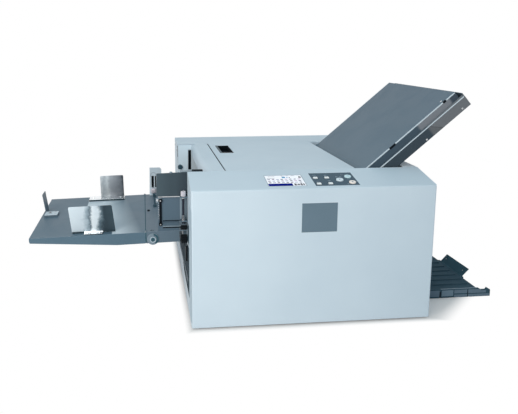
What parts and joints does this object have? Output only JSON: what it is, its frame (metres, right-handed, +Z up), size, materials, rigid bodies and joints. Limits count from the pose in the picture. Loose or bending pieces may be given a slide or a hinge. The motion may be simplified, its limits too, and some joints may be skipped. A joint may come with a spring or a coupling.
{
  "type": "paper folding machine",
  "caption": "Desk-top paper folder: hinged feed table with guides, feed head, fold rollers, sloping fold plate, slanted key panel and a low stacker with a stop flap.",
  "frame": {"origin": "middle of the machine's outline, on the surface it stands on", "axes": "+X along the paper path from the feed table to the stacker, +Y from the front panel to the back, +Z up"},
  "size_m": [1.0243, 0.607, 0.4661],
  "materials": {
    "housing": "satin powder coat, pale blue-grey",
    "slate": "satin coat, slate grey",
    "dark_slate": "satin coat, dark grey",
    "stacker_slate": "satin coat, dark teal grey",
    "steel": "bright",
    "guide_steel": "polished",
    "roller_steel": "ground",
    "rubber": "matt",
    "drum_rubber": "matt",
    "black_plastic": "fine grain",
    "gear_plastic": "smooth",
    "screen": "glossy, white",
    "key_white": "satin",
    "key_pale": "satin",
    "key_cyan": "satin",
    "key_warm": "satin"
  },
  "bodies": {
    "machine": {"base_pan": "housing", "feet": "rubber", "front_housing": "housing", "rear_housing": "housing", "front_frame": "housing", "rear_frame": "housing", "tie_bars": "steel", "top_strip": "housing", "right_cover": "housing", "hinge_pins": "steel", "screen_case": "black_plastic", "screen_glass": "screen", "key_panel": "slate", "front_badge": "slate", "power_inlet": "black_plastic", "table_base": "slate", "head_plate": "slate", "head_shield": "dark_slate", "far_bracket": "housing", "separator": "dark_slate", "drive_motor": "dark_slate", "exit_belt": "rubber"},
    "cover": {"top_cover": "housing", "handle_cup": "black_plastic"},
    "square_key_1": {"key_square_1": "key_white"},
    "square_key_2": {"key_square_2": "key_white"},
    "square_key_3": {"key_square_3": "key_white"},
    "square_key_4": {"key_square_4": "key_white"},
    "start_key": {"key_start": "key_pale"},
    "blue_key": {"key_blue": "key_cyan"},
    "cream_key": {"key_cream": "key_warm"},
    "mains_switch": {"switch_rocker": "black_plastic"},
    "table": {"feed_table": "slate"},
    "guide_near": {"near_guide": "guide_steel"},
    "guide_far": {"far_guide": "guide_steel"},
    "stop_tail": {"tail_stop": "slate"},
    "table_lock": {"lock_knob": "dark_slate"},
    "gap_screw": {"gap_rod": "steel"},
    "clamp_screw": {"clamp_knob": "steel"},
    "skew_dial": {"skew_knob": "black_plastic"},
    "pressure_dial": {"pressure_knob": "black_plastic"},
    "drum": {"feed_drum": "drum_rubber"},
    "roller_1": {"fold_roller_1": "roller_steel", "roller_gear_1": "gear_plastic"},
    "roller_2": {"fold_roller_2": "roller_steel", "roller_gear_2": "gear_plastic"},
    "roller_3": {"fold_roller_3": "roller_steel", "roller_gear_3": "gear_plastic"},
    "roller_4": {"fold_roller_4": "roller_steel", "roller_gear_4": "gear_plastic"},
    "pinion": {"motor_pinion": "steel"},
    "exit": {"exit_roller": "drum_rubber"},
    "fold_plate_1": {"plate_1_lid": "slate", "plate_1_tray": "slate"},
    "fold_stop": {"plate_1_stop": "steel"},
    "fold_plate_2": {"plate_2_case": "stacker_slate"},
    "plate_latch": {"plate_2_lever": "black_plastic"},
    "stacker": {"stacker_tray": "stacker_slate"},
    "flap": {"stacker_flap": "stacker_slate"}
  },
  "joints": [
    {"name": "cover_hinge", "type": "hinge", "parent": "machine", "child": "cover", "pos_m": [0.17594, -0.0115, 0.2997], "axis": [0, 1, 0], "range_deg": [0, 80]},
    {"name": "square_key_1_press", "type": "slide", "parent": "machine", "child": "square_key_1", "axis": [0, 0.1867, -0.9824], "range_m": [0, 0.0015], "stiffness_N_per_m": 300, "springref_m": -0.0005},
    {"name": "square_key_2_press", "type": "slide", "parent": "machine", "child": "square_key_2", "axis": [0, 0.1867, -0.9824], "range_m": [0, 0.0015], "stiffness_N_per_m": 300, "springref_m": -0.0005},
    {"name": "square_key_3_press", "type": "slide", "parent": "machine", "child": "square_key_3", "axis": [0, 0.1867, -0.9824], "range_m": [0, 0.0015], "stiffness_N_per_m": 300, "springref_m": -0.0005},
    {"name": "square_key_4_press", "type": "slide", "parent": "machine", "child": "square_key_4", "axis": [0, 0.1867, -0.9824], "range_m": [0, 0.0015], "stiffness_N_per_m": 300, "springref_m": -0.0005},
    {"name": "start_key_press", "type": "slide", "parent": "machine", "child": "start_key", "axis": [0, 0.1867, -0.9824], "range_m": [0, 0.0015], "stiffness_N_per_m": 300, "springref_m": -0.0005},
    {"name": "blue_key_press", "type": "slide", "parent": "machine", "child": "blue_key", "axis": [0, 0.1867, -0.9824], "range_m": [0, 0.0015], "stiffness_N_per_m": 300, "springref_m": -0.0005},
    {"name": "cream_key_press", "type": "slide", "parent": "machine", "child": "cream_key", "axis": [0, 0.1867, -0.9824], "range_m": [0, 0.0015], "stiffness_N_per_m": 300, "springref_m": -0.0005},
    {"name": "mains_switch_rock", "type": "hinge", "parent": "machine", "child": "mains_switch", "pos_m": [-0.10606, 0.299, 0.051], "axis": [1, 0, 0], "range_deg": [-10, 0]},
    {"name": "table_fold", "type": "hinge", "parent": "machine", "child": "table", "pos_m": [-0.26903, -0.0115, 0.17367], "axis": [0, 1, 0], "range_deg": [0, 90]},
    {"name": "near_guide_slide", "type": "slide", "parent": "table", "child": "guide_near", "axis": [0, 1, 0], "range_m": [0, 0.11]},
    {"name": "far_guide_slide", "type": "slide", "parent": "table", "child": "guide_far", "axis": [0, -1, 0], "range_m": [0, 0.11]},
    {"name": "tail_stop_slide", "type": "slide", "parent": "table", "child": "stop_tail", "axis": [0.9997, 0, 0.0262], "range_m": [0, 0.05]},
    {"name": "table_lock_turn", "type": "hinge", "parent": "machine", "child": "table_lock", "pos_m": [-0.25361, -0.1855, 0.15807], "axis": [0, 1, 0], "range_deg": [-90, 90]},
    {"name": "gap_screw_turn", "type": "hinge", "parent": "machine", "child": "gap_screw", "pos_m": [-0.18906, -0.2055, 0.23], "axis": [0, 0, 1], "range_deg": [-180, 180]},
    {"name": "clamp_screw_turn", "type": "hinge", "parent": "machine", "child": "clamp_screw", "pos_m": [-0.24506, 0.1565, 0.1846], "axis": [0, 1, 0], "range_deg": [-180, 180]},
    {"name": "skew_dial_turn", "type": "hinge", "parent": "machine", "child": "skew_dial", "pos_m": [-0.18706, -0.1885, 0.157], "axis": [1, 0, 0], "range_deg": [-120, 120]},
    {"name": "pressure_dial_turn", "type": "hinge", "parent": "machine", "child": "pressure_dial", "pos_m": [-0.18706, -0.1885, 0.1823], "axis": [1, 0, 0], "range_deg": [-120, 120]},
    {"name": "drum_spin", "type": "hinge", "parent": "machine", "child": "drum", "pos_m": [-0.16006, -0.0115, 0.199], "axis": [0, 1, 0], "continuous": true},
    {"name": "roller_1_spin", "type": "hinge", "parent": "machine", "child": "roller_1", "pos_m": [0.06594, -0.0115, 0.16959], "axis": [0, 1, 0], "continuous": true},
    {"name": "roller_2_spin", "type": "hinge", "parent": "machine", "child": "roller_2", "pos_m": [0.08394, -0.0115, 0.13841], "axis": [0, 1, 0], "continuous": true},
    {"name": "roller_3_spin", "type": "hinge", "parent": "machine", "child": "roller_3", "pos_m": [0.10708, -0.0115, 0.11083], "axis": [0, 1, 0], "continuous": true},
    {"name": "roller_4_spin", "type": "hinge", "parent": "machine", "child": "roller_4", "pos_m": [0.10083, -0.0115, 0.07538], "axis": [0, 1, 0], "continuous": true},
    {"name": "pinion_spin", "type": "hinge", "parent": "machine", "child": "pinion", "pos_m": [0.12757, -0.0115, 0.07162], "axis": [0, 1, 0], "continuous": true},
    {"name": "exit_spin", "type": "hinge", "parent": "machine", "child": "exit", "pos_m": [0.29594, -0.0115, 0.046], "axis": [0, 1, 0], "continuous": true},
    {"name": "fold_plate_1_slide", "type": "slide", "parent": "machine", "child": "fold_plate_1", "axis": [0.7615, 0, 0.6481], "range_m": [0, 0.05]},
    {"name": "fold_stop_slide", "type": "slide", "parent": "fold_plate_1", "child": "fold_stop", "axis": [0.7615, 0, 0.6481], "range_m": [-0.12, 0.06]},
    {"name": "fold_plate_2_slide", "type": "slide", "parent": "machine", "child": "fold_plate_2", "axis": [-0.9781, 0, -0.2079], "range_m": [0, 0.08]},
    {"name": "plate_latch_turn", "type": "hinge", "parent": "fold_plate_2", "child": "plate_latch", "pos_m": [-0.17706, -0.1815, 0.132], "axis": [1, 0, 0], "range_deg": [0, 90]},
    {"name": "stacker_fold", "type": "hinge", "parent": "machine", "child": "stacker", "pos_m": [0.32494, -0.0115, 0.019], "axis": [0, -1, 0], "range_deg": [0, 75]},
    {"name": "flap_tilt", "type": "hinge", "parent": "stacker", "child": "flap", "pos_m": [0.48294, -0.0115, 0.018], "axis": [0, -1, 0], "range_deg": [-40, 40]}
  ],
  "couplings": [
    {"joint": "roller_2_spin", "follows": "roller_1_spin", "ratio": -1},
    {"joint": "roller_3_spin", "follows": "roller_1_spin", "ratio": 1},
    {"joint": "roller_4_spin", "follows": "roller_1_spin", "ratio": -1},
    {"joint": "pinion_spin", "follows": "roller_1_spin", "ratio": 2},
    {"joint": "exit_spin", "follows": "roller_1_spin", "ratio": -1}
  ]
}
